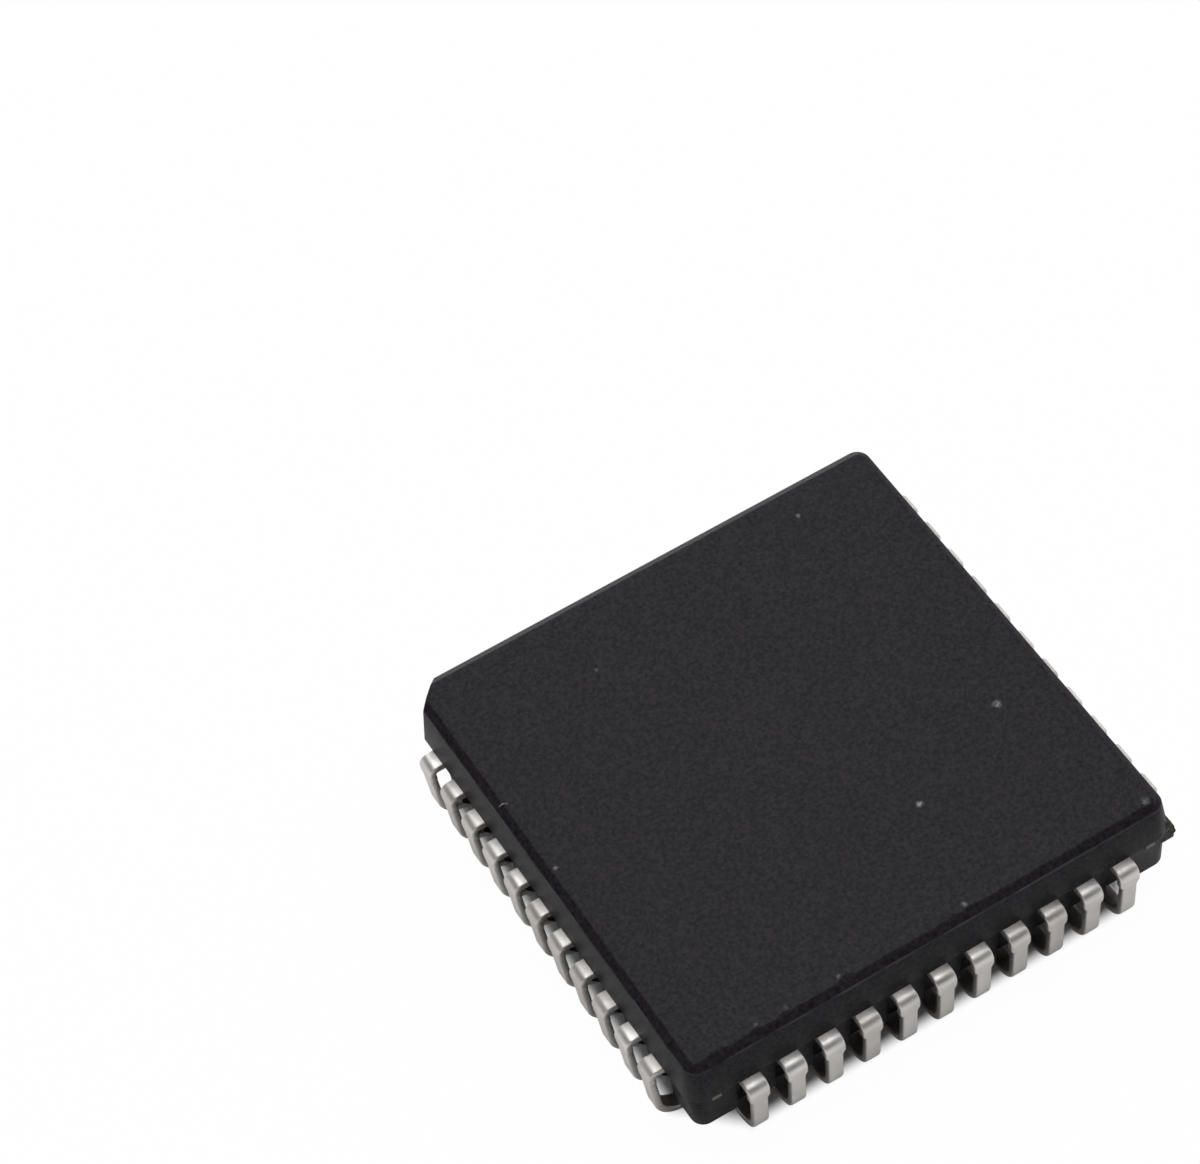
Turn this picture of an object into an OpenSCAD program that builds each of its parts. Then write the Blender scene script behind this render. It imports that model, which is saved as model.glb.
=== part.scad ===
// Plastic leaded chip carrier with 44 J-shaped leads, standing on its leads.
// Millimetres, +Z up. The origin is the middle of the seating plane under the leads.
// Lead 1 is in the middle of the +Y side, and the count runs counter-clockwise seen from above.
// The chamfered index corner is at -X, +Y.

/* [Package] */
// Side of the moulded body at its parting line
body_w = 16.58; // [16.3:0.02:16.8]
// Height of the whole part over the seating plane
total_h = 4.2; // [4.1:0.05:4.6]
// Height of the flat underside over the seating plane
standoff = 0.65; // [0.5:0.05:0.75]

/* [Top half of the body] */
// Draft of the side walls, in degrees
wall_draft = 8; // [4:0.5:9]
// Width of the slope around the top face
bevel_w = 0.27; // [0.1:0.01:0.3]
// Drop of the slope around the top face
bevel_h = 0.15; // [0.08:0.01:0.25]
// Corner radius of the top half at the parting line
corner_r = 0.62; // [0.58:0.02:0.9]
// Leg of the index corner's chamfer at the parting line
index_leg = 1.14; // [0.9:0.02:1.3]
// Draft of the index corner's chamfer, in degrees
index_draft = 3.5; // [1:0.5:8]

/* [Lower half of the body] */
// Set-back of the lower wall behind the parting line
lower_setback = 0.1; // [0.05:0.01:0.15]
// Draft of the lower wall, in degrees
lower_draft = 3; // [1:0.5:4]
// Corner radius of the lower half at the parting line
lower_corner_r = 0.5; // [0.45:0.01:0.7]
// Height over the seating plane at which the lower wall turns into its foot bevel
foot_z = 1.25; // [1.15:0.05:1.5]
// Width of the foot bevel
foot_bevel = 0.3; // [0.15:0.01:0.32]
// Height of the ribbed ledge over the seating plane
ledge_z = 0.9; // [0.85:0.01:1.05]
// Distance of the raised flat in the middle of the underside from the body's sides
plateau_inset = 1.54; // [1.44:0.02:1.7]
// Leg of the index corner's chamfer on the lower half
lower_index_leg = 1.5; // [1.3:0.05:1.7]
// Draft of the index corner's chamfer on the lower half, in degrees
lower_index_draft = 8; // [2:1:12]
// Width of the slot behind each lead
slot_w = 0.82; // [0.76:0.02:0.9]
// Depth of each slot into the lower wall
slot_depth = 0.42; // [0.3:0.02:0.6]
// Plastic left between a slot's roof and the lead above it
slot_roof = 0.2; // [0.12:0.02:0.4]
// Reach of each pocket into the plateau, past its edge
pocket_reach = 0.2; // [0.1:0.02:0.35]
// Clearance over a lead's tip inside its pocket
tip_clearance = 0.3; // [0.2:0.02:0.45]

/* [Moulding marks] */
// Spacing of the four ejector-pin marks, centre to centre
ejector_pitch = 9.1; // [8:0.1:9.4]
// Outer diameter of an ejector-pin mark
ejector_d = 3.1; // [2.6:0.1:3.3]
// Diameter of the inner ring of an ejector-pin mark
ejector_inner_d = 2; // [1.6:0.1:2.2]
// Depth of an ejector-pin mark
ejector_depth = 0.06; // [0.03:0.01:0.12]
// Extra depth of the inner ring
ejector_inner_depth = 0.04; // [0.02:0.01:0.08]
// Diameter of the dimple beside lead 1
dimple_d = 1; // [0.8:0.05:1.2]
// Depth of the dimple
dimple_depth = 0.22; // [0.1:0.02:0.3]
// Distance of the dimple's centre from the plateau's edge
dimple_edge = 1.15; // [1:0.05:1.5]
// Width of the broken gate stub beside the +X, -Y corner
gate_w = 0.65; // [0.5:0.05:0.9]
// Distance of the gate stub from the corner
gate_edge = 0.06; // [0.04:0.02:0.3]
// Length of the gate stub past the body's side
gate_l = 0.12; // [0.06:0.02:0.44]
// Slope of the gate stub's broken end
gate_slant = 0.08; // [0.02:0.01:0.2]
// Depth of the gate stub below the parting line
gate_t = 0.55; // [0.3:0.05:0.7]
// Rise of the gate stub above the parting line
gate_rise = 0.06; // [0.02:0.01:0.25]
// Run of the gate stub inside the lower wall
gate_root = 0.4; // [0.3:0.05:0.5]

/* [Leads] */
// Least distance of a row's last lead from the body's corner
row_end = 1.94; // [1.8:0.02:2.2]
// Lead spacing
pitch = 1.27; // [1.2:0.01:1.3]
// Stand-out of the leads past the body's sides
lead_reach = 0.5; // [0.41:0.01:0.53]
// Thickness of the lead strip
lead_t = 0.25; // [0.2:0.01:0.27]
// Width of a lead above its neck
lead_upper_w = 0.67; // [0.64:0.01:0.8]
// Width of a lead below its neck
lead_lower_w = 0.5; // [0.4:0.01:0.55]
// Height of the neck over the seating plane
neck_z = 2.1; // [1.8:0.05:2.25]
// Height of the sloped shoulders that narrow the neck
neck_taper = 0.12; // [0.08:0.02:0.2]
// Height of a lead's flat top over the seating plane
lead_top = 2.8; // [2.7:0.02:3.05]
// Outer radius of the bend outside the body
bend_r = 0.32; // [0.3:0.01:0.45]
// Distance of a lead's lowest point behind its outermost point
contact_inset = 1.12; // [1:0.01:1.2]
// Outer radius of the hook under the body
hook_r = 1; // [0.9:0.01:1.05]
// Angle from the hook's outermost point round to its tip, in degrees
hook_turn = 155; // [140:1:165]

/* [Inside] */
// Side of the plate that carries the die
paddle_w = 7.4; // [6.4:0.1:7.8]
// Gap between the plate and the lead tips
tip_gap = 0.35; // [0.25:0.05:0.6]
// Spacing of the lead tips round the plate
tip_pitch = 0.62; // [0.5:0.01:0.64]
// Width of a lead's inner tip
tip_w = 0.3; // [0.2:0.01:0.36]
// Straight run of each lead inside the wall
finger_run = 0.9; // [0.6:0.05:1.2]
// Gap along the row between a lead's finger and the bar at the corner
finger_gap = 0.2; // [0.15:0.05:0.4]
// Width of the bars that hold the plate
tie_w = 0.3; // [0.22:0.02:0.36]
// Distance of the bars' ends from the body's corners, along the +Y and -Y sides
tie_corner = 0.85; // [0.75:0.05:1]
// Stand-out of the bars' cut ends past the lower wall
tie_proud = 0.03; // [0.02:0.01:0.08]
// Side of the silicon die
die_w = 5; // [4.4:0.1:5.6]
// Thickness of the die
die_t = 0.36; // [0.25:0.01:0.45]
// Thickness of the adhesive under the die
attach_t = 0.03; // [0.02:0.005:0.05]
// Margin of the adhesive around the die
attach_margin = 0.15; // [0.05:0.05:0.3]
// Thickness of a bond wire
wire_t = 0.03; // [0.025:0.001:0.05]
// Rise of a bond wire over the straight line between its ends
wire_rise = 0.3; // [0.2:0.02:0.4]
// Spacing of the bond pads along the die's edge
pad_pitch = 0.4; // [0.3:0.01:0.42]
// Distance of the bond pads from the die's edge
pad_inset = 0.15; // [0.1:0.01:0.3]
// Distance of a wire's foot from the lead's tip
stitch_inset = 0.2; // [0.12:0.02:0.4]

/* [Hidden] */
$fn = 48;
eps = 0.01;
far = 30;
body_h = body_w / 2;
parting_z = lead_top;
wall_inset = (total_h - bevel_h - parting_z) * tan(wall_draft);
lower_h = body_h - lower_setback;
lower_foot_h = lower_h - (parting_z - foot_z) * tan(lower_draft);
plateau_h = body_h - plateau_inset;
slot_top = lead_top - lead_t - slot_roof;
leads_per_side = 1 + floor((body_w - 2 * row_end) / pitch + eps);
lead_count = 4 * leads_per_side;
row_half = (leads_per_side - 1) / 2;
tip_u = paddle_w / 2 + tip_gap;
die_top = lead_top + attach_t + die_t;

// Centres of the bend and the hook in the plane of a lead, and the lean of the leg between them
bend_c = [body_h + lead_reach - bend_r, lead_top - bend_r];
hook_c = [body_h + lead_reach - contact_inset, hook_r];
leg_line = bend_c - hook_c;
leg_lean = atan2(leg_line.y, leg_line.x) - acos((hook_r - bend_r) / norm(leg_line));
hook_inner_r = hook_r - lead_t;
tip_z = hook_c.y - hook_inner_r * sin(hook_turn);
pocket_top = tip_z + tip_clearance;

function lead_name(n) = str("lead_", n < 10 ? "0" : "", n);

// Place of lead n in its row, from -row_half to row_half, and the turn of its side
function lead_slot(n) = (n - 1 + floor(row_half)) % lead_count;
function row_place(n) = lead_slot(n) % leads_per_side - row_half;
function side_turn(n) = 90 * (floor(lead_slot(n) / leads_per_side) + 1);
function toward(a, r) = [r * cos(a), r * sin(a)];
// Distance from the package's centre at which lead n's finger starts to slant, clear of the corner bars
function knee_u(n) = max(body_h - finger_run,
    abs(row_place(n)) * pitch + lead_upper_w / 2 + tie_w / sqrt(2) + finger_gap);
// Middle of lead n's inner finger, across its row, at distance u from the package's centre
function finger_mid(n, u) =
    row_place(n) * (tip_pitch + (pitch - tip_pitch) * (u - tip_u) / (knee_u(n) - tip_u));

// A block with the half-widths and heights in profile, listed upwards, and round drafted corners.
// radius is the corner radius at the widest level.
module drafted_block(profile, radius) {
    widest = max([for (p = profile) p.x]);
    centre = widest - radius;
    flipped = [for (i = [len(profile) - 1 : -1 : 0]) [-profile[i].x, profile[i].y]];
    low = profile[0].y;
    high = profile[len(profile) - 1].y;
    for (turn = [0, 90])
        rotate([90, 0, turn])
            linear_extrude(2 * centre, center = true)
                polygon(concat(profile, flipped));
    for (turn = [0 : 90 : 270])
        rotate([0, 0, turn])
            translate([centre, centre, 0])
                rotate_extrude(angle = 90)
                    polygon(concat([[0, low]], [for (p = profile) [p.x - centre, p.y]], [[0, high]]));
}

// Everything outside a drafted plane across the index corner. The plane cuts legs of the given
// length from the sides of a square of half-width half at height z, and leans in by lean above it.
module index_cut(half, leg, lean, z) {
    translate([-half + leg / 2, half - leg / 2, z])
        rotate([0, 0, 135])
            rotate([0, -lean, 0])
                translate([0, -far / 2, -far / 2])
                    cube([far, far, far]);
}

module top_half() {
    difference() {
        drafted_block([[body_h, parting_z], [body_h - wall_inset, total_h - bevel_h],
            [body_h - wall_inset - bevel_w, total_h]], corner_r);
        index_cut(body_h, index_leg, index_draft, parting_z);
    }
}

module lower_half() {
    difference() {
        union() {
            drafted_block([[lower_foot_h - foot_bevel, ledge_z], [lower_foot_h, foot_z],
                [lower_h, parting_z]], lower_corner_r);
            translate([-plateau_h, -plateau_h, standoff])
                cube([2 * plateau_h, 2 * plateau_h, ledge_z - standoff + eps]);
        }
        index_cut(lower_h, lower_index_leg, -lower_index_draft, parting_z);
    }
}

// Stub of moulding compound where the gate was broken off, on the +X side
module gate_stub() {
    root = lower_h - gate_root;
    tip = body_h + gate_l;
    translate([0, gate_edge + gate_w - lower_h, parting_z])
        rotate([90, 0, 0])
            linear_extrude(gate_w)
                polygon([[root, -gate_t], [tip - gate_slant, -gate_t], [tip, -gate_t / 2],
                    [tip - gate_slant, gate_rise], [root, gate_rise]]);
}

// Slot in the lower wall and pocket in the plateau for one lead, in the frame of its side
module lead_room() {
    back = lower_h - slot_depth;
    translate([back, -slot_w / 2, -eps])
        cube([far, slot_w, slot_top + eps]);
    translate([plateau_h - pocket_reach, -slot_w / 2, -eps])
        cube([far, slot_w, pocket_top + eps]);
}

module ejector_mark() {
    translate([0, 0, standoff - eps])
        cylinder(d = ejector_d, h = ejector_depth + eps);
    translate([0, 0, standoff])
        cylinder(d = ejector_inner_d, h = ejector_depth + ejector_inner_depth);
}

module dimple() {
    radius = (dimple_d * dimple_d / 4 + dimple_depth * dimple_depth) / (2 * dimple_depth);
    translate([0, plateau_h - dimple_edge, standoff + dimple_depth - radius])
        sphere(r = radius);
}

// Sector of the lead strip bent to an outer radius, from one angle to another
module strip_bend(centre, radius, from, to) {
    steps = 4;
    reach = 2 * radius;
    intersection() {
        translate(centre)
            difference() {
                circle(radius);
                circle(radius - lead_t);
            }
        polygon(concat([centre],
            [for (i = [0 : steps]) centre + toward(from + (to - from) * i / steps, reach)]));
    }
}

// Side view of a lead outside the body: bend, leaning leg and hook. The leg laps into the middle of
// the strip at both of its ends, by an angle, so that the three are one strip.
module lead_side() {
    lap = 10;
    strip_bend(bend_c, bend_r, 90, leg_lean);
    polygon([bend_c + toward(leg_lean, bend_r), hook_c + toward(leg_lean, hook_r),
        hook_c + toward(leg_lean - lap, hook_r - lead_t / 2), hook_c + toward(leg_lean, hook_inner_r),
        bend_c + toward(leg_lean, bend_r - lead_t), bend_c + toward(leg_lean + lap, bend_r - lead_t / 2)]);
    strip_bend(hook_c, hook_r, leg_lean, -hook_turn);
}

// Front view of a lead: wide above the neck and narrow below it
module lead_front() {
    wide = lead_upper_w / 2;
    slim = lead_lower_w / 2;
    polygon([[-slim, -far], [slim, -far], [slim, neck_z], [wide, neck_z + neck_taper], [wide, far],
        [-wide, far], [-wide, neck_z + neck_taper], [-slim, neck_z]]);
}

// One lead, with its finger inside the body
module lead(n) {
    place = row_place(n) * pitch;
    knee = knee_u(n);
    tip = finger_mid(n, tip_u);
    wide = lead_upper_w / 2;
    color("silver")
        rotate([0, 0, side_turn(n)]) {
            translate([0, 0, lead_top - lead_t])
                linear_extrude(lead_t)
                    polygon([[tip_u, tip - tip_w / 2], [knee, place - wide], [bend_c.x, place - wide],
                        [bend_c.x, place + wide], [knee, place + wide], [tip_u, tip + tip_w / 2]]);
            translate([0, place, 0])
                intersection() {
                    rotate([90, 0, 0])
                        linear_extrude(lead_upper_w, center = true)
                            lead_side();
                    rotate([90, 0, 90])
                        linear_extrude(far)
                            lead_front();
                }
        }
}

// Plate under the die and its bars, blanked from the same strip as the leads. The bars run out
// along the diagonals and end in the +Y and -Y walls and in the index corner's chamfer.
module die_paddle() {
    tie_x = body_h - tie_corner;
    edge = lower_h + tie_proud;
    color("silver")
        translate([0, 0, lead_top - lead_t])
            linear_extrude(lead_t)
                intersection() {
                    union() {
                        square(paddle_w, center = true);
                        for (side = [-1, 1])
                            rotate([0, 0, side * 45])
                                square([2 * sqrt(2) * tie_x, tie_w], center = true);
                        for (side = [-1, 1])
                            for (end = [-1, 1])
                                translate([side * tie_x - tie_w / 2, end > 0 ? tie_x - tie_w / 2 : -far])
                                    square([tie_w, far - tie_x + tie_w / 2]);
                    }
                    polygon([[-edge, -edge], [edge, -edge], [edge, edge],
                        [lower_index_leg - edge, edge], [-edge, edge - lower_index_leg]]);
                }
}

module die_attach() {
    side = die_w + 2 * attach_margin;
    color("gainsboro")
        translate([-side / 2, -side / 2, lead_top])
            cube([side, side, attach_t]);
}

module silicon_die() {
    color("slategray")
        translate([-die_w / 2, -die_w / 2, lead_top + attach_t])
            cube([die_w, die_w, die_t]);
}

// One wire from a pad on the die to a lead's finger, as an arc in an upright plane with its feet
// cut level with the die and the finger
module bond_wire(n) {
    pad = [die_w / 2 - pad_inset, row_place(n) * pad_pitch];
    foot_u = tip_u + stitch_inset;
    run = [foot_u, finger_mid(n, foot_u)] - pad;
    drop = die_top - lead_top;
    chord = norm([norm(run), drop]);
    radius = chord * chord / (8 * wire_rise) + wire_rise / 2;
    middle = [norm(run) / 2, drop / 2] - toward(atan2(norm(run), drop), radius - wire_rise);
    rotate([0, 0, side_turn(n)])
        translate([pad.x, pad.y, lead_top])
            rotate([90, 0, atan2(run.y, run.x)])
                linear_extrude(wire_t, center = true)
                    difference() {
                        translate(middle)
                            difference() {
                                circle(radius + wire_t / 2);
                                circle(radius - wire_t / 2);
                            }
                        translate([-far / 2, -far])
                            square(far);
                        translate([-far, drop - far])
                            square([far + pad_inset, far]);
                    }
}

module bond_wires() {
    color("gold")
        for (n = [1 : lead_count])
            bond_wire(n);
}

// Moulding compound, with room for everything that it was moulded around
module moulded_body() {
    color("dimgray")
        difference() {
            union() {
                top_half();
                lower_half();
                gate_stub();
            }
            for (n = [1 : lead_count])
                rotate([0, 0, side_turn(n)])
                    translate([0, row_place(n) * pitch, 0])
                        lead_room();
            for (turn = [45 : 90 : 315])
                rotate([0, 0, turn])
                    translate([ejector_pitch / sqrt(2), 0, 0])
                        ejector_mark();
            dimple();
            for (n = [1 : lead_count])
                lead(n);
            die_paddle();
            die_attach();
            silicon_die();
            bond_wires();
        }
}

moulded_body();
die_paddle();
die_attach();
silicon_die();
bond_wires();
for (n = [1 : lead_count]) lead(n);
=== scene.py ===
import math

import bmesh
import bpy
from mathutils import Matrix, Vector, noise


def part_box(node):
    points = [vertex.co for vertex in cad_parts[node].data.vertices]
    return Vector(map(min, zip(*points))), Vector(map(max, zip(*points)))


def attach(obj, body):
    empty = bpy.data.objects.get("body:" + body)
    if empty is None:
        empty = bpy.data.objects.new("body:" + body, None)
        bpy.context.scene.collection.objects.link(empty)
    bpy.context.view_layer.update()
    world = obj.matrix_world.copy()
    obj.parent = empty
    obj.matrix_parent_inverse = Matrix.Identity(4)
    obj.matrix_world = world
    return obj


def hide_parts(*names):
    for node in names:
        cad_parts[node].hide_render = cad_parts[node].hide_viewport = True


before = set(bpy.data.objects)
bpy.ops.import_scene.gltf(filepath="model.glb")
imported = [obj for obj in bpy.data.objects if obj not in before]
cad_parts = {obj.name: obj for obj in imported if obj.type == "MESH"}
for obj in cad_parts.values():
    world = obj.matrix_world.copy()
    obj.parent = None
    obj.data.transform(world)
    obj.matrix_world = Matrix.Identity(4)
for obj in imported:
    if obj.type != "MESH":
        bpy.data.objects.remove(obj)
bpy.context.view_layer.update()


# Lead-frame plate: the square paddle under the die and its tie bars, blanked from copper alloy strip.
# The moulding closes over it, and only the sheared ends of the bars show in two of the walls.

MM = 0.001


def linear(hex_colour):
    """An sRGB hex colour as linear red, green, blue and alpha."""
    parts = [int(hex_colour[i:i + 2], 16) / 255 for i in (1, 3, 5)]
    return [c / 12.92 if c <= 0.04045 else ((c + 0.055) / 1.055) ** 2.4 for c in parts] + [1.0]


def add(tree, kind, sockets=None, **settings):
    """A new node with its settings, and a value or a link on each named or numbered socket."""
    node = tree.nodes.new(kind)
    for key, value in settings.items():
        setattr(node, key, value)
    for key, value in (sockets or {}).items():
        if isinstance(value, bpy.types.NodeSocket):
            tree.links.new(value, node.inputs[key])
        else:
            node.inputs[key].default_value = value
    return node


def start_finish(name):
    """A new material with an empty tree."""
    material = bpy.data.materials.new(name)
    material.use_nodes = True
    material.node_tree.nodes.clear()
    return material, material.node_tree


def per_mm(size):
    """Scale of a pattern on Object coordinates whose features are size millimetres across."""
    return 1 / (size * MM)


def dress(node_name, material):
    """Puts a material on a CAD node that keeps its own shape."""
    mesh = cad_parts[node_name].data
    mesh.materials.clear()
    mesh.materials.append(material)


# Copper-iron strip with a matt silver flash: dull warm grey, with fine rolling lines.
strip_metal, tree = start_finish("silver_flashed_copper_strip")
where = add(tree, "ShaderNodeTexCoord").outputs["Object"]
rolled = add(tree, "ShaderNodeMapping", {"Vector": where, "Scale": (1, 0.12, 1)})
lines = add(tree, "ShaderNodeTexNoise", {"Vector": rolled.outputs[0], "Scale": per_mm(0.05), "Detail": 3})
tone = add(tree, "ShaderNodeMix", {0: lines.outputs["Fac"], 6: linear("#5f5a55"), 7: linear("#8b857e")},
           data_type="RGBA")
rough = add(tree, "ShaderNodeMapRange", {"Value": lines.outputs["Fac"], "To Min": 0.5, "To Max": 0.7})
metal = add(tree, "ShaderNodeBsdfPrincipled", {
    "Base Color": tone.outputs[2], "Metallic": 1.0, "Roughness": rough.outputs[0]})
add(tree, "ShaderNodeOutputMaterial", {"Surface": metal.outputs[0]})
dress("die_paddle", strip_metal)


# Die attach: a thin layer of silver-filled epoxy under the die, squeezed out a little all round.
# It is sealed inside the moulding.

# Silver-filled epoxy: dull grey paste with fine flakes.
silver_paste, tree = start_finish("silver_filled_epoxy_cured")
where = add(tree, "ShaderNodeTexCoord").outputs["Object"]
flakes = add(tree, "ShaderNodeTexVoronoi", {"Vector": where, "Scale": per_mm(0.02)})
tone = add(tree, "ShaderNodeMix", {
    0: flakes.outputs["Distance"], 6: linear("#c4c2bd"), 7: linear("#8d8b86")}, data_type="RGBA")
paste = add(tree, "ShaderNodeBsdfPrincipled", {
    "Base Color": tone.outputs[2], "Metallic": 0.6, "Roughness": 0.55})
add(tree, "ShaderNodeOutputMaterial", {"Surface": paste.outputs[0]})
dress("die_attach", silver_paste)


# Silicon die: a square sawn from a polished wafer and stuck to the paddle.
# It is sealed inside the moulding.

# Passivated silicon: dark blue-grey, glossy, with blocks of circuits as faint changes of tone.
silicon, tree = start_finish("silicon_polished_passivated")
where = add(tree, "ShaderNodeTexCoord").outputs["Object"]
blocks = add(tree, "ShaderNodeTexVoronoi", {"Vector": where, "Scale": per_mm(0.45)}, distance="CHEBYCHEV")
tone = add(tree, "ShaderNodeMix", {
    0: blocks.outputs["Distance"], 6: linear("#4a5261"), 7: linear("#6b6f7c")}, data_type="RGBA")
wafer = add(tree, "ShaderNodeBsdfPrincipled", {
    "Base Color": tone.outputs[2], "Metallic": 0.5, "Roughness": 0.18})
add(tree, "ShaderNodeOutputMaterial", {"Surface": wafer.outputs[0]})
dress("silicon_die", silicon)


# Bond wires: drawn gold wires from the pads on the die to the lead fingers, one for each lead.
# They are sealed inside the moulding.

# Drawn gold: warm bright yellow, with a faint change of tone along the wire.
gold, tree = start_finish("gold_drawn_wire")
where = add(tree, "ShaderNodeTexCoord").outputs["Object"]
draw = add(tree, "ShaderNodeTexNoise", {"Vector": where, "Scale": per_mm(0.03), "Detail": 2})
tone = add(tree, "ShaderNodeMix", {0: draw.outputs["Fac"], 6: linear("#e0b44c"), 7: linear("#f3d07a")},
           data_type="RGBA")
wire = add(tree, "ShaderNodeBsdfPrincipled", {
    "Base Color": tone.outputs[2], "Metallic": 1.0, "Roughness": 0.25})
add(tree, "ShaderNodeOutputMaterial", {"Surface": wire.outputs[0]})
dress("bond_wires", gold)


# Moulded body: black silica-filled epoxy, transfer moulded in a two-part mould around the lead frame.
# The mould leaves drafted walls, a step at the parting line, slots and pockets for the leads, the
# ejectors' rings on the underside and a broken stub at the gate.

body_low, body_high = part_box("moulded_body")
total_h = body_high.z / MM
standoff = body_low.z / MM
body_h = -body_low.x / MM
parting_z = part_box("die_paddle")[1].z / MM
bevel_drop = 0.15
bevel_w = 0.27
wall_draft = math.tan(math.radians(8))
bevel_z = total_h - bevel_drop
wall_h = body_h - (bevel_z - parting_z) * wall_draft
top_h = wall_h - bevel_w
corner_r = 0.62
index_leg = 1.14
index_draft = math.tan(math.radians(3.5))
parting_step = 0.1
lower_h = body_h - parting_step
lower_corner_r = 0.5
lower_index_leg = 1.5
lower_index_draft = math.tan(math.radians(8))
least_corner_r = 0.12
least_index_leg = 0.16
index_edge_r = 0.06
side_steps = 120
foot_z = 1.25
foot_draft = math.tan(math.radians(3))
foot_h = lower_h - (parting_z - foot_z) * foot_draft
foot_bevel_w = 0.3
ledge_h = foot_h - foot_bevel_w
ledge_z = 0.9
ledge_w = 1.54
plateau_h = body_h - ledge_w
leads_per_side = 11
pitch = 1.27
slot_w = 0.82
slot_depth = 0.42
slot_back = lower_h - slot_depth
slot_cover = 0.45
slot_top = parting_z - slot_cover
pocket_depth = 0.2
pocket_back = plateau_h - pocket_depth
pocket_top = 0.983


def rounded(corners, steps, closed):
    """Corners (x, y, radius) joined in order, each rounded off in the given number of steps."""
    points = []
    for i, (x, y, radius) in enumerate(corners):
        here = Vector((x, y))
        if not closed and i in (0, len(corners) - 1):
            points.append(here)
            continue
        back = (Vector(corners[i - 1][:2]) - here).normalized()
        ahead = (Vector(corners[(i + 1) % len(corners)][:2]) - here).normalized()
        half_angle = back.angle(ahead) / 2
        centre = here + (back + ahead).normalized() * radius / math.sin(half_angle)
        first = (here + back * radius / math.tan(half_angle) - centre).normalized()
        last = (here + ahead * radius / math.tan(half_angle) - centre).normalized()
        points += [centre + radius * first.slerp(last, k / steps) for k in range(steps + 1)]
    return points


def body_ring(half, z):
    """Points round the body at one height, from above against the clock, starting at the index corner."""
    if z > parting_z + 1e-4 or half > lower_h + 1e-4:
        radius = corner_r - (body_h - half)
        plane = math.sqrt(2) * (body_h - index_leg / 2) - (z - parting_z) * index_draft
    else:
        radius = lower_corner_r - (lower_h - half)
        plane = math.sqrt(2) * (lower_h - lower_index_leg / 2) - (parting_z - z) * lower_index_draft
    radius = max(radius, least_corner_r)
    leg = max(2 * half - math.sqrt(2) * plane, least_index_leg)
    soft = min(index_edge_r, leg / 4)
    corners = [(-half, half - leg, soft), (-half, -half, radius), (half, -half, radius),
               (half, half, radius), (leg - half, half, soft)]
    round_points = rounded(corners, 8, True)
    ring = []
    for i, point in enumerate(round_points):
        ring.append(point)
        following = round_points[(i + 1) % len(round_points)]
        if (following - point).length > 3:
            ring += [point.lerp(following, k / side_steps) for k in range(1, side_steps)]
    return ring


# Section through a wall, from the flat that closes the top round to the one that closes the underside.
flat_h = 5.2
profile = rounded([
    (flat_h, total_h, 0), (top_h, total_h, 0.12), (wall_h, bevel_z, 0.09), (body_h, parting_z, 0.03),
    (lower_h, parting_z, 0.02), (foot_h, foot_z, 0.08), (ledge_h, ledge_z, 0.06),
    (plateau_h + 0.02, ledge_z, 0.03), (plateau_h, standoff, 0.05), (flat_h, standoff, 0)], 3, False)
# One more ring near the edge of the top keeps the shading flat inside it.
inner_ring = 0.3
profile.insert(1, Vector((top_h - inner_ring, total_h)))

# Nicks in the front edge of the top: place along the edge, half length, depth.
edge_band = 0.16
most_worn = 0.2
nicks = [(-7.1, 0.35, 0.12), (-5.8, 0.16, 0.1), (-4.8, 0.2, 0.11), (-2.7, 0.26, 0.15), (0.9, 0.14, 0.08),
         (1.5, 0.18, 0.11)]


def nicked(x, y, z):
    """A point of the body, moved in where rubbing, most at the left, or a nick takes the front edge."""
    if z < bevel_z or abs(y + top_h) > edge_band:
        return x, y, z
    wear_and_painted_highlight = 0.05 * max(noise.noise((x * 2.3, 0.5, 0.5)), 0) * min(max((2 - x) / 4, 0.3), 1)
    for middle, half_length, depth in nicks:
        away = abs(x - middle) / half_length
        if away < 1:
            wear_and_painted_highlight += depth * (1 - away * away) * (0.8 + 0.6 * noise.noise((x * 9, 1.5, 0.5)))
    return x, y + min(wear_and_painted_highlight, most_worn), z


shape = bmesh.new()
rings = []
for half, z in profile:
    ring = []
    for point in body_ring(half, z):
        ring.append(shape.verts.new(Vector(nicked(point.x, point.y, z)) * MM))
    rings.append(ring)
for upper, lower in zip(rings, rings[1:]):
    for i in range(len(upper)):
        k = (i + 1) % len(upper)
        shape.faces.new((upper[i], lower[i], lower[k], upper[k]))
shape.faces.new(rings[0])
shape.faces.new(list(reversed(rings[-1])))
bmesh.ops.recalc_face_normals(shape, faces=shape.faces)
body_mesh = bpy.data.meshes.new("moulded_epoxy_body")
shape.to_mesh(body_mesh)
shape.free()
body = bpy.data.objects.new("moulded_epoxy_body", body_mesh)
bpy.context.scene.collection.objects.link(body)

# Silica-filled epoxy from a spark-eroded mould: near black with a faint violet cast, matt, with a fine
# even grain that breaks up the highlights. The grain is drawn coarser than the real one, so that it
# shows.
epoxy, tree = start_finish("silica_filled_epoxy_eroded_matt")
where = add(tree, "ShaderNodeTexCoord").outputs["Object"]
grain = add(tree, "ShaderNodeTexNoise", {
    "Vector": where, "Scale": per_mm(0.13), "Detail": 3, "Roughness": 0.75})
cloud = add(tree, "ShaderNodeTexNoise", {"Vector": where, "Scale": per_mm(2.5), "Detail": 2})
speckle = add(tree, "ShaderNodeMapRange", {
    "Value": grain.outputs["Fac"], "From Min": 0.35, "From Max": 0.65})
tone = add(tree, "ShaderNodeMix", {0: speckle.outputs[0], 6: linear("#121013"), 7: linear("#2d2a2f")},
           data_type="RGBA")
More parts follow.
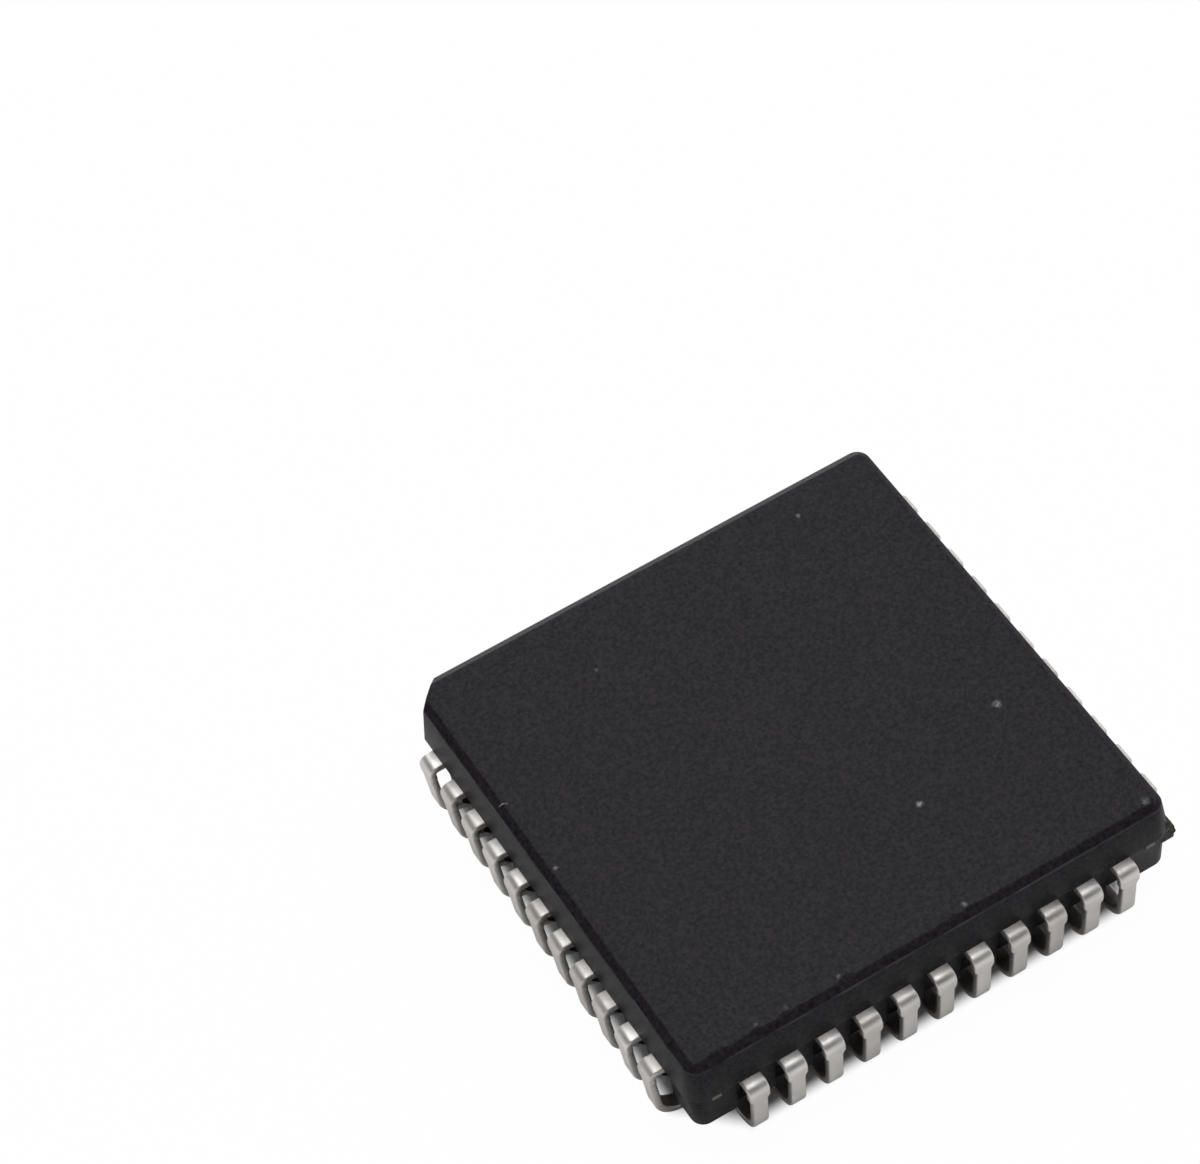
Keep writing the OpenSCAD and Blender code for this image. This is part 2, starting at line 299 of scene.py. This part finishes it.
# Painted highlight along the edge under the bevel: a lighter grey band, in patches.
edge_highlight_z = bevel_z - 0.015
edge_highlight_half_w = 0.03
height = add(tree, "ShaderNodeSeparateXYZ", {0: where}).outputs["Z"]
on_edge = add(tree, "ShaderNodeMath", {0: height, 1: edge_highlight_z * MM, 2: edge_highlight_half_w * MM},
              operation="COMPARE")
patches = add(tree, "ShaderNodeTexNoise", {"Vector": where, "Scale": per_mm(1.2), "Detail": 3})
patchy = add(tree, "ShaderNodeMapRange", {
    "Value": patches.outputs["Fac"], "From Min": 0.35, "From Max": 0.6, "To Min": 0.05, "To Max": 0.5})
wear_and_painted_highlight = add(tree, "ShaderNodeMath", {0: on_edge.outputs[0], 1: patchy.outputs[0]}, operation="MULTIPLY")
tone = add(tree, "ShaderNodeMix", {0: wear_and_painted_highlight.outputs[0], 6: tone.outputs[2], 7: linear("#5b585a")},
           data_type="RGBA")
# Pale scuffs on the top: place, radius and strength of each, and one short curved scratch.
scuffs = [(6.03, -2.44, 0.17, 0.6), (2.21, -4.1, 0.13, 0.7), (5.01, 6.86, 0.1, 0.4), (7.6, -7.7, 0.16, 0.4),
          (-7.7, 0.04, 0.09, 0.5), (-3.09, 5.44, 0.08, 0.25), (-5.7, -7.7, 0.1, 0.3),
          (1.35, -7.68, 0.12, 0.35), (-2.9, -7.68, 0.1, 0.3), (-4.7, -7.7, 0.09, 0.2)]
scratch_middle = (-7.83 * MM, 2.85 * MM, total_h * MM)
scratch_centre = (-7.95 * MM, 2.55 * MM, total_h * MM)
scratch_r = 0.33
scratch_half_w = 0.02
scratch_half_l = 0.2
bow = add(tree, "ShaderNodeVectorMath", {0: where, 1: scratch_centre}, operation="DISTANCE")
on_bow = add(tree, "ShaderNodeMath", {
    0: bow.outputs["Value"], 1: scratch_r * MM, 2: scratch_half_w * MM}, operation="COMPARE")
along = add(tree, "ShaderNodeVectorMath", {0: where, 1: scratch_middle}, operation="DISTANCE")
ends = add(tree, "ShaderNodeMapRange", {
    "Value": along.outputs["Value"], "From Max": scratch_half_l * MM, "To Min": 1.0, "To Max": 0.0})
scuffed = add(tree, "ShaderNodeMath", {0: on_bow.outputs[0], 1: ends.outputs[0]}, operation="MULTIPLY")
for x, y, radius, strength in scuffs:
    far = add(tree, "ShaderNodeVectorMath", {0: where, 1: (x * MM, y * MM, total_h * MM)},
              operation="DISTANCE")
    scuff = add(tree, "ShaderNodeMapRange", {
        "Value": far.outputs["Value"], "From Max": radius * MM, "To Min": strength, "To Max": 0.0})
    scuffed = add(tree, "ShaderNodeMath", {0: scuffed.outputs[0], 1: scuff.outputs[0]}, operation="MAXIMUM")
broken = add(tree, "ShaderNodeMapRange", {
    "Value": grain.outputs["Fac"], "From Min": 0.35, "From Max": 0.55})
scuffed = add(tree, "ShaderNodeMath", {0: scuffed.outputs[0], 1: broken.outputs[0]}, operation="MULTIPLY")
tone = add(tree, "ShaderNodeMix", {0: scuffed.outputs[0], 6: tone.outputs[2], 7: linear("#b9b8bb")},
           data_type="RGBA")
rough = add(tree, "ShaderNodeMapRange", {
    "Value": cloud.outputs["Fac"], "From Min": 0.3, "From Max": 0.7, "To Min": 0.36, "To Max": 0.4})
bump = add(tree, "ShaderNodeBump", {
    "Height": grain.outputs["Fac"], "Strength": 0.5, "Distance": 0.012 * MM})
plastic = add(tree, "ShaderNodeBsdfPrincipled", {
    "Base Color": tone.outputs[2], "Roughness": rough.outputs[0], "IOR": 1.45, "Specular IOR Level": 0.1,
    "Normal": bump.outputs[0]})
add(tree, "ShaderNodeOutputMaterial", {"Surface": plastic.outputs[0]})


def new_node_tree(name, inputs):
    """A geometry tree with a Geometry input and the named inputs, and the sockets of its input node."""
    tree = bpy.data.node_groups.new(name, "GeometryNodeTree")
    tree.interface.new_socket("Geometry", in_out="INPUT", socket_type="NodeSocketGeometry")
    for label, (kind, _) in inputs.items():
        tree.interface.new_socket(label, in_out="INPUT", socket_type=kind)
    tree.interface.new_socket("Geometry", in_out="OUTPUT", socket_type="NodeSocketGeometry")
    return tree, tree.nodes.new("NodeGroupInput").outputs


def run_node_tree(piece, tree, inputs):
    """Runs a tree on a piece with its inputs set."""
    modifier = piece.modifiers.new(tree.name, "NODES")
    modifier.node_group = tree
    for item in tree.interface.items_tree:
        if item.in_out == "INPUT" and item.name in inputs:
            modifier[item.identifier] = inputs[item.name][1]


def make_plain(piece):
    """Turns a piece and its modifiers into a plain mesh."""
    bpy.context.view_layer.update()
    shown = piece.evaluated_get(bpy.context.evaluated_depsgraph_get())
    plain = bpy.data.meshes.new_from_object(shown)
    piece.modifiers.clear()
    piece.data = plain
    plain.name = piece.name


def row_points(tree, count, per_side, spacing):
    """Points along the four sides, and the turn of each point's side."""
    index = add(tree, "GeometryNodeInputIndex").outputs[0]
    share = add(tree, "ShaderNodeMath", {0: index, 1: per_side}, operation="DIVIDE")
    side = add(tree, "ShaderNodeMath", {0: share.outputs[0]}, operation="FLOOR")
    place = add(tree, "ShaderNodeMath", {0: index, 1: per_side}, operation="MODULO")
    last = add(tree, "ShaderNodeMath", {0: per_side, 1: 1.0}, operation="SUBTRACT")
    middle = add(tree, "ShaderNodeMath", {0: last.outputs[0], 1: 0.5}, operation="MULTIPLY")
    steps = add(tree, "ShaderNodeMath", {0: place.outputs[0], 1: middle.outputs[0]}, operation="SUBTRACT")
    along = add(tree, "ShaderNodeMath", {0: steps.outputs[0], 1: spacing}, operation="MULTIPLY")
    turn = add(tree, "ShaderNodeMath", {0: side.outputs[0], 1: math.pi / 2}, operation="MULTIPLY")
    line = add(tree, "ShaderNodeCombineXYZ", {"Y": along.outputs[0]})
    spot = add(tree, "ShaderNodeVectorRotate", {"Vector": line.outputs[0], "Angle": turn.outputs[0]},
               rotation_type="Z_AXIS")
    points = add(tree, "GeometryNodePoints", {"Count": count, "Position": spot.outputs[0]})
    spin = add(tree, "ShaderNodeCombineXYZ", {"Z": turn.outputs[0]})
    return points.outputs[0], spin.outputs[0]


body_inputs = {
    "Leads": ("NodeSocketInt", 4 * leads_per_side),
    "Leads per side": ("NodeSocketInt", leads_per_side),
    "Pitch": ("NodeSocketFloat", pitch * MM),
    "Ejector pitch": ("NodeSocketFloat", 9.1 * MM),
    "Ejector radius": ("NodeSocketFloat", 3.1 / 2 * MM),
    "Ejector inner radius": ("NodeSocketFloat", 2.0 / 2 * MM),
    "Compound": ("NodeSocketMaterial", epoxy),
}
tree, given = new_node_tree("moulded_body_cuts", body_inputs)
spots, spins = row_points(tree, given["Leads"], given["Leads per side"], given["Pitch"])
reach = 3.0
slot = add(tree, "GeometryNodeMeshCube", {"Size": (reach * MM, slot_w * MM, slot_top * MM)})
slot_room = add(tree, "GeometryNodeTransform", {
    "Geometry": slot.outputs[0], "Translation": ((slot_back + reach / 2) * MM, 0, slot_top / 2 * MM)})
pocket = add(tree, "GeometryNodeMeshCube", {"Size": (reach * MM, slot_w * MM, pocket_top * MM)})
pocket_room = add(tree, "GeometryNodeTransform", {
    "Geometry": pocket.outputs[0], "Translation": ((pocket_back + reach / 2) * MM, 0, pocket_top / 2 * MM)})
lead_room = add(tree, "GeometryNodeJoinGeometry")
for piece in (pocket_room, slot_room):
    tree.links.new(piece.outputs[0], lead_room.inputs[0])
rooms = add(tree, "GeometryNodeInstanceOnPoints", {
    "Points": spots, "Instance": lead_room.outputs[0], "Rotation": spins})
corner_grid = add(tree, "GeometryNodeMeshGrid", {
    "Size X": given["Ejector pitch"], "Size Y": given["Ejector pitch"], "Vertices X": 2, "Vertices Y": 2})
ejector_depth = 0.06
inner_depth = 0.1
outer_pin = add(tree, "GeometryNodeMeshCylinder", {
    "Vertices": 72, "Radius": given["Ejector radius"], "Depth": 2 * ejector_depth * MM})
inner_pin = add(tree, "GeometryNodeMeshCylinder", {
    "Vertices": 48, "Radius": given["Ejector inner radius"], "Depth": 2 * inner_depth * MM})
pins = add(tree, "GeometryNodeJoinGeometry")
for piece in (inner_pin, outer_pin):
    tree.links.new(piece.outputs[0], pins.inputs[0])
pins_down = add(tree, "GeometryNodeTransform", {
    "Geometry": pins.outputs[0], "Translation": (0, 0, standoff * MM)})
marks = add(tree, "GeometryNodeInstanceOnPoints", {
    "Points": corner_grid.outputs[0], "Instance": pins_down.outputs[0]})
dimple_d = 1.0
dimple_depth = 0.22
dimple_inset = 1.15
dimple_r = (dimple_d ** 2 / 4 + dimple_depth ** 2) / (2 * dimple_depth)
ball = add(tree, "GeometryNodeMeshUVSphere", {"Segments": 48, "Rings": 32, "Radius": dimple_r * MM})
dimple = add(tree, "GeometryNodeTransform", {
    "Geometry": ball.outputs[0],
    "Translation": (0, (plateau_h - dimple_inset) * MM, (standoff + dimple_depth - dimple_r) * MM)})
cutters = add(tree, "GeometryNodeJoinGeometry")
for piece in (dimple, marks, rooms):
    tree.links.new(piece.outputs[0], cutters.inputs[0])
solid_cutters = add(tree, "GeometryNodeRealizeInstances", {"Geometry": cutters.outputs[0]})
cut = add(tree, "GeometryNodeMeshBoolean", {
    "Mesh 1": given["Geometry"], "Mesh 2": solid_cutters.outputs[0], "Self Intersection": True},
    operation="DIFFERENCE", solver="EXACT")
real = add(tree, "GeometryNodeRealizeInstances", {"Geometry": cut.outputs[0]})
dressed = add(tree, "GeometryNodeSetMaterial", {
    "Geometry": real.outputs[0], "Material": given["Compound"]})
add(tree, "NodeGroupOutput", {0: dressed.outputs[0]})
run_node_tree(body, tree, body_inputs)
make_plain(body)

# Stub at the gate, where the runner of compound was broken off beside the corner away from the index.
# Outside the wall it is torn in towards its core, in lumps and grit.
gate_low = -lower_h + 0.06
gate_w = 0.65
gate_t = 0.55
gate_rise = 0.06
gate_slant = 0.08
gate_root = lower_h - 0.4
gate_tip = body_high.x / MM
gate_core = Vector((body_h - 0.3, gate_low + gate_w / 2, parting_z + (gate_rise - gate_t) / 2))
torn_from = body_h - 0.05
torn_over = 0.2
gate = bmesh.new()
gate_side = [(gate_root, -gate_t), (gate_tip - gate_slant, -gate_t), (gate_tip, -gate_t / 2),
             (gate_tip - gate_slant, gate_rise), (gate_root, gate_rise)]
ends = []
for y in (gate_low, gate_low + gate_w):
    ends.append([gate.verts.new((x * MM, y * MM, (parting_z + z) * MM)) for x, z in gate_side])
for i in range(len(gate_side)):
    k = (i + 1) % len(gate_side)
    gate.faces.new((ends[0][i], ends[0][k], ends[1][k], ends[1][i]))
gate.faces.new(list(reversed(ends[0])))
gate.faces.new(ends[1])
bmesh.ops.recalc_face_normals(gate, faces=gate.faces)
bmesh.ops.subdivide_edges(gate, edges=gate.edges, cuts=7, use_grid_fill=True)
for vert in gate.verts:
    place = vert.co / MM
    lumps = 0.192 * noise.noise(place * 5.3) ** 2
    grit = 0.08 * abs(noise.noise(place * 17))
    torn = min(max((place.x - torn_from) / torn_over, 0), 1)
    vert.co -= (place - gate_core) * (lumps + grit) * torn * MM
gate_mesh = bpy.data.meshes.new("gate_stub")
gate.to_mesh(gate_mesh)
gate.free()

# The same compound where it was broken off: dull dark brown and coarse, with pale grains of silica.
torn_epoxy, tree = start_finish("silica_filled_epoxy_broken")
where = add(tree, "ShaderNodeTexCoord").outputs["Object"]
crumbs = add(tree, "ShaderNodeTexNoise", {
    "Vector": where, "Scale": per_mm(0.12), "Detail": 4, "Roughness": 0.7})
spread = add(tree, "ShaderNodeMapRange", {
    "Value": crumbs.outputs["Fac"], "From Min": 0.35, "From Max": 0.7})
tone = add(tree, "ShaderNodeMix", {0: spread.outputs[0], 6: linear("#17130f"), 7: linear("#5a5348")},
           data_type="RGBA")
bump = add(tree, "ShaderNodeBump", {
    "Height": crumbs.outputs["Fac"], "Strength": 0.8, "Distance": 0.04 * MM})
rubble = add(tree, "ShaderNodeBsdfPrincipled", {
    "Base Color": tone.outputs[2], "Roughness": 0.7, "Specular IOR Level": 0.2, "Normal": bump.outputs[0]})
add(tree, "ShaderNodeOutputMaterial", {"Surface": rubble.outputs[0]})
gate_mesh.materials.append(torn_epoxy)
stub = bpy.data.objects.new("gate_stub", gate_mesh)
bpy.context.scene.collection.objects.link(stub)
join = body.modifiers.new("gate", "BOOLEAN")
join.operation = "UNION"
join.solver = "EXACT"
join.material_mode = "TRANSFER"
join.object = stub
edge = body.modifiers.new("moulded_edges", "BEVEL")
edge.width = 0.03 * MM
edge.segments = 2
edge.limit_method = "ANGLE"
edge.angle_limit = math.radians(38)
body.data.shade_smooth()
even = body.modifiers.new("even_shading", "WEIGHTED_NORMAL")
even.weight = 100
make_plain(body)
bpy.data.objects.remove(stub)
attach(body, "root")
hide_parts("moulded_body")


# Leads: 44 strips of tinned copper alloy, bent down at the wall and rolled under into a J.
# Each is wide above its neck and slim below, and its tip lies in a pocket under the body.

lead_t = 0.25
lead_wide = 0.67
lead_slim = 0.5
neck_z = 2.1
neck_taper = 0.12
bend_r = 0.32
hook_r = 1.0
hook_turn = 155
lead_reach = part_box("lead_01")[1].y / MM
bend_centre = Vector((lead_reach - bend_r, parting_z - bend_r))
contact_inset = 1.12
bend_steps = 12
leg_steps = 24
hook_steps = 24
hook_centre = Vector((lead_reach - contact_inset, hook_r))
leg_line = bend_centre - hook_centre
leg_lean = math.atan2(leg_line.y, leg_line.x) - math.acos((hook_r - bend_r) / leg_line.length)


def arc(centre, radius, first, last, steps):
    """Points on an arc between two angles."""
    angles = [first + (last - first) * k / steps for k in range(steps + 1)]
    return [centre + radius * Vector((math.cos(a), math.sin(a))) for a in angles]


lead_root = body_h - 0.6
outer_line = [Vector((lead_root, parting_z))]
outer_line += arc(bend_centre, bend_r, math.pi / 2, leg_lean, bend_steps)
leg_top = outer_line[-1]
leg_foot = hook_centre + hook_r * Vector((math.cos(leg_lean), math.sin(leg_lean)))
outer_line += [leg_top.lerp(leg_foot, k / leg_steps) for k in range(1, leg_steps)]
outer_line += arc(hook_centre, hook_r, leg_lean, -math.radians(hook_turn), hook_steps)
line_mesh = bpy.data.meshes.new("tinned_leads")
line_mesh.from_pydata([(u * MM, 0, z * MM) for u, z in outer_line],
                      [(i, i + 1) for i in range(len(outer_line) - 1)], [])
width = line_mesh.attributes.new("strip_width", "FLOAT", "POINT")
for i, (u, z) in enumerate(outer_line):
    share = min(max((z - neck_z) / neck_taper, 0), 1) if u > hook_centre.x else 0
    width.data[i].value = (lead_slim + (lead_wide - lead_slim) * share) * MM
leads = bpy.data.objects.new("tinned_leads", line_mesh)
bpy.context.scene.collection.objects.link(leads)

# Matt tin plate on copper alloy: warm grey-white metal, satin, with a fine grain and a blotchy dull
# film that differs from lead to lead.
tin, tree = start_finish("tin_plate_matt")
where = add(tree, "ShaderNodeTexCoord").outputs["Object"]
fine = add(tree, "ShaderNodeTexNoise", {"Vector": where, "Scale": per_mm(0.06), "Detail": 3})
blotch = add(tree, "ShaderNodeTexNoise", {"Vector": where, "Scale": per_mm(0.5), "Detail": 3})
each = add(tree, "ShaderNodeAttribute", attribute_name="lead_tone")
film = add(tree, "ShaderNodeMath", {0: blotch.outputs["Fac"], 1: 0.6, 2: each.outputs["Fac"]},
           operation="MULTIPLY_ADD")
tone = add(tree, "ShaderNodeMix", {0: film.outputs[0], 6: linear("#e4e1de"), 7: linear("#c2bdb8")},
           data_type="RGBA")
rough = add(tree, "ShaderNodeMapRange", {
    "Value": blotch.outputs["Fac"], "From Min": 0.3, "From Max": 0.7, "To Min": 0.44, "To Max": 0.56})
bump = add(tree, "ShaderNodeBump", {
    "Height": fine.outputs["Fac"], "Strength": 0.3, "Distance": 0.006 * MM})
metal = add(tree, "ShaderNodeBsdfPrincipled", {
    "Base Color": tone.outputs[2], "Metallic": 1.0, "Roughness": rough.outputs[0],
    "Normal": bump.outputs[0]})
add(tree, "ShaderNodeOutputMaterial", {"Surface": metal.outputs[0]})

lead_inputs = {
    "Leads": ("NodeSocketInt", 4 * leads_per_side),
    "Leads per side": ("NodeSocketInt", leads_per_side),
    "Pitch": ("NodeSocketFloat", pitch * MM),
    "Strip thickness": ("NodeSocketFloat", lead_t * MM),
    "Steps along": ("NodeSocketInt", 96),
    "Seed": ("NodeSocketInt", 7),
    "Plating": ("NodeSocketMaterial", tin),
}
tree, given = new_node_tree("lead_rows", lead_inputs)
path = add(tree, "GeometryNodeMeshToCurve", {"Mesh": given["Geometry"]})
strip = add(tree, "GeometryNodeMeshGrid", {
    "Size X": 1.0, "Size Y": 1.0, "Vertices X": given["Steps along"], "Vertices Y": 3})
flat = add(tree, "ShaderNodeSeparateXYZ", {0: add(tree, "GeometryNodeInputPosition").outputs[0]})
along = add(tree, "ShaderNodeMath", {0: flat.outputs["X"], 1: 0.5}, operation="ADD")
strip_width = add(tree, "GeometryNodeInputNamedAttribute", {"Name": "strip_width"}, data_type="FLOAT")
sample = add(tree, "GeometryNodeSampleCurve", {
    "Curves": path.outputs[0], "Value": strip_width.outputs[0], "Factor": along.outputs[0]},
    mode="FACTOR", data_type="FLOAT")
across = add(tree, "ShaderNodeMath", {0: flat.outputs["Y"], 1: sample.outputs["Value"]},
             operation="MULTIPLY")
sideways = add(tree, "ShaderNodeCombineXYZ", {"Y": across.outputs[0]})
on_path = add(tree, "ShaderNodeVectorMath", {0: sample.outputs["Position"], 1: sideways.outputs[0]})
bent = add(tree, "GeometryNodeSetPosition", {"Geometry": strip.outputs[0], "Position": on_path.outputs[0]})
outward = add(tree, "GeometryNodeInputNormal").outputs[0]
inward = add(tree, "ShaderNodeVectorMath", {0: outward, "Scale": -1.0}, operation="SCALE")
thick = add(tree, "GeometryNodeExtrudeMesh", {
    "Mesh": bent.outputs[0], "Offset": inward.outputs[0], "Offset Scale": given["Strip thickness"],
    "Individual": False}, mode="FACES")
turned = add(tree, "GeometryNodeFlipFaces", {0: thick.outputs[0]})
closed = add(tree, "GeometryNodeJoinGeometry")
for piece in (turned, bent):
    tree.links.new(piece.outputs[0], closed.inputs[0])
one_lead = add(tree, "GeometryNodeMergeByDistance", {
    "Geometry": closed.outputs[0], "Distance": 0.0005 * MM})
spots, spins = row_points(tree, given["Leads"], given["Leads per side"], given["Pitch"])
rows = add(tree, "GeometryNodeInstanceOnPoints", {
    "Points": spots, "Instance": one_lead.outputs[0], "Rotation": spins})
chance = add(tree, "FunctionNodeRandomValue", {2: 0.0, 3: 0.5, "Seed": given["Seed"]}, data_type="FLOAT")
toned = add(tree, "GeometryNodeStoreNamedAttribute", {
    "Geometry": rows.outputs[0], "Name": "lead_tone", "Value": chance.outputs[1]},
    data_type="FLOAT", domain="INSTANCE")
real = add(tree, "GeometryNodeRealizeInstances", {"Geometry": toned.outputs[0]})
plated = add(tree, "GeometryNodeSetMaterial", {"Geometry": real.outputs[0], "Material": given["Plating"]})
add(tree, "NodeGroupOutput", {0: plated.outputs[0]})
run_node_tree(leads, tree, lead_inputs)
make_plain(leads)
leads.data.shade_smooth()
edge = leads.modifiers.new("blanked_edges", "BEVEL")
edge.width = 0.05 * MM
edge.segments = 2
edge.limit_method = "ANGLE"
edge.angle_limit = math.radians(40)
even = leads.modifiers.new("even_shading", "WEIGHTED_NORMAL")
even.weight = 100
make_plain(leads)
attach(leads, "root")
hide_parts(*[f"lead_{n:02d}" for n in range(1, 4 * leads_per_side + 1)])


# Floor: a wide round table of white card that curves up at its rim into a low backdrop.
# The chip only stands on it, and it is no part of the chip.

floor_r = 0.6
rise_r = 0.1
backdrop_h = 0.16
shade_from, shade_to = 7.8, 8.4
mirror_from, mirror_to = 8.6, 24
corner_share = 0.56
white_share = 0.98

# Matt white card. Seen straight it is all but white, with a trace of the chip's shadow, and under the
# chip the shadow is whole. A mirror or glass shows it grey close to the chip and white further out.
card, tree = start_finish("white_card_matt")
where = add(tree, "ShaderNodeTexCoord").outputs["Object"]
fibre = add(tree, "ShaderNodeTexNoise", {"Vector": where, "Scale": per_mm(1.5), "Detail": 2})
tone = add(tree, "ShaderNodeMix", {0: fibre.outputs["Fac"], 6: linear("#efeeec"), 7: linear("#f4f3f2")},
           data_type="RGBA")
paper = add(tree, "ShaderNodeBsdfDiffuse", {"Color": tone.outputs[2]})
glow = add(tree, "ShaderNodeEmission", {"Color": linear("#ffffff"), "Strength": 1.0})
light_path = add(tree, "ShaderNodeLightPath").outputs
mirrored = add(tree, "ShaderNodeMath", {
    0: light_path["Is Glossy Ray"], 1: light_path["Is Transmission Ray"]}, operation="MAXIMUM")
apart = add(tree, "ShaderNodeVectorMath", {0: where}, operation="ABSOLUTE")
sides = add(tree, "ShaderNodeSeparateXYZ", {0: apart.outputs[0]})
straight = add(tree, "ShaderNodeMath", {0: sides.outputs["X"], 1: sides.outputs["Y"]}, operation="MAXIMUM")
both = add(tree, "ShaderNodeMath", {0: sides.outputs["X"], 1: sides.outputs["Y"]}, operation="ADD")
slanting = add(tree, "ShaderNodeMath", {0: both.outputs[0], 1: corner_share}, operation="MULTIPLY")
out_by = add(tree, "ShaderNodeMath", {0: straight.outputs[0], 1: slanting.outputs[0]}, operation="MAXIMUM")
clear = add(tree, "ShaderNodeMapRange", {
    "Value": out_by.outputs[0], "From Min": shade_from * MM, "From Max": shade_to * MM,
    "To Max": white_share}, interpolation_type="SMOOTHSTEP")
out_share = add(tree, "ShaderNodeMapRange", {
    "Value": out_by.outputs[0], "From Min": mirror_from * MM, "From Max": mirror_to * MM})
open_floor = add(tree, "ShaderNodeMath", {0: out_share.outputs[0], 1: 0.5}, operation="POWER")
seen = add(tree, "ShaderNodeMath", {0: light_path["Is Camera Ray"], 1: clear.outputs[0]},
           operation="MULTIPLY")
share = add(tree, "ShaderNodeMath", {0: mirrored.outputs[0], 1: open_floor.outputs[0], 2: seen.outputs[0]},
            operation="MULTIPLY_ADD")
white = add(tree, "ShaderNodeMixShader", {0: share.outputs[0], 1: paper.outputs[0], 2: glow.outputs[0]})
add(tree, "ShaderNodeOutputMaterial", {"Surface": white.outputs[0]})
sweep = [(0.0, 0.0)]
for k in range(9):
    a = math.pi / 2 * k / 8
    sweep.append((floor_r + rise_r * math.sin(a), rise_r * (1 - math.cos(a))))
sweep.append((floor_r + rise_r, backdrop_h))
table = bmesh.new()
turns = 64
columns = []
for i in range(turns):
    a = 2 * math.pi * i / turns
    columns.append([table.verts.new((r * math.cos(a), r * math.sin(a), z)) for r, z in sweep])
for i in range(turns):
    here, there = columns[i], columns[(i + 1) % turns]
    for k in range(len(sweep) - 1):
        table.faces.new((here[k], here[k + 1], there[k + 1], there[k]))
bmesh.ops.remove_doubles(table, verts=table.verts, dist=1e-6)
table_mesh = bpy.data.meshes.new("white_table")
table.to_mesh(table_mesh)
table.free()
table_mesh.shade_smooth()
table_mesh.materials.append(card)
floor = bpy.data.objects.new("white_table", table_mesh)
bpy.context.scene.collection.objects.link(floor)


# Light: square soft boxes behind, above, at both sides and low at the back of the table.
# They hang free and face the chip, and a dim grey room fills the shade.

def soft_box(name, place, size, radiance):
    """A square lamp that faces the chip, with the brightness of its face."""
    data = bpy.data.lights.new(name, "AREA")
    data.shape = "SQUARE"
    data.size = size
    data.energy = radiance * math.pi * size ** 2
    lamp = bpy.data.objects.new(name, data)
    lamp.matrix_world = (Matrix.Translation(place) @
                         (-Vector(place)).to_track_quat("-Z", "Y").to_matrix().to_4x4())
    bpy.context.scene.collection.objects.link(lamp)


soft_box("back_box", (0.11, 0.26, 0.36), 0.36, 2.0)
soft_box("top_box", (0.0, 0.04, 0.5), 0.3, 3.4)
soft_box("rim_box", (0.14, 0.52, 0.06), 0.3, 3.6)
soft_box("left_box", (-0.42, -0.06, 0.22), 0.20, 0.6)
soft_box("right_box", (0.40, 0.02, 0.26), 0.30, 1.6)
world = bpy.data.worlds.new("dim_room")
world.use_nodes = True
world.node_tree.nodes["Background"].inputs["Color"].default_value = linear("#b4b6ba")
world.node_tree.nodes["Background"].inputs["Strength"].default_value = 0.22
bpy.context.scene.world = world
bpy.context.scene.view_settings.view_transform = "Standard"


# Camera: a long lens above the corner between the two near rows of leads, turned and rolled to the
# photograph's angle.

camera_turn = math.radians(-23.545)
camera_height = math.radians(52.64)
camera_roll = math.radians(-9.257)
camera_distance = 123.645
camera_aim = Vector((-2.323, 5.839, 7.578))
backward = Vector((math.sin(camera_turn) * math.cos(camera_height),
                   -math.cos(camera_turn) * math.cos(camera_height), math.sin(camera_height)))
level = Vector((math.cos(camera_turn), math.sin(camera_turn), 0))
upright = backward.cross(level)
right = math.cos(camera_roll) * level + math.sin(camera_roll) * upright
up = math.cos(camera_roll) * upright - math.sin(camera_roll) * level
lens = bpy.data.cameras.new("camera")
lens.lens = 126
lens.sensor_width = 36
lens.clip_start = 0.005
lens.clip_end = 10
camera = bpy.data.objects.new("camera", lens)
camera.matrix_world = (Matrix.Translation((camera_aim + camera_distance * backward) * MM) @
                       Matrix((right, up, backward)).transposed().to_4x4())
bpy.context.scene.collection.objects.link(camera)
bpy.context.scene.camera = camera
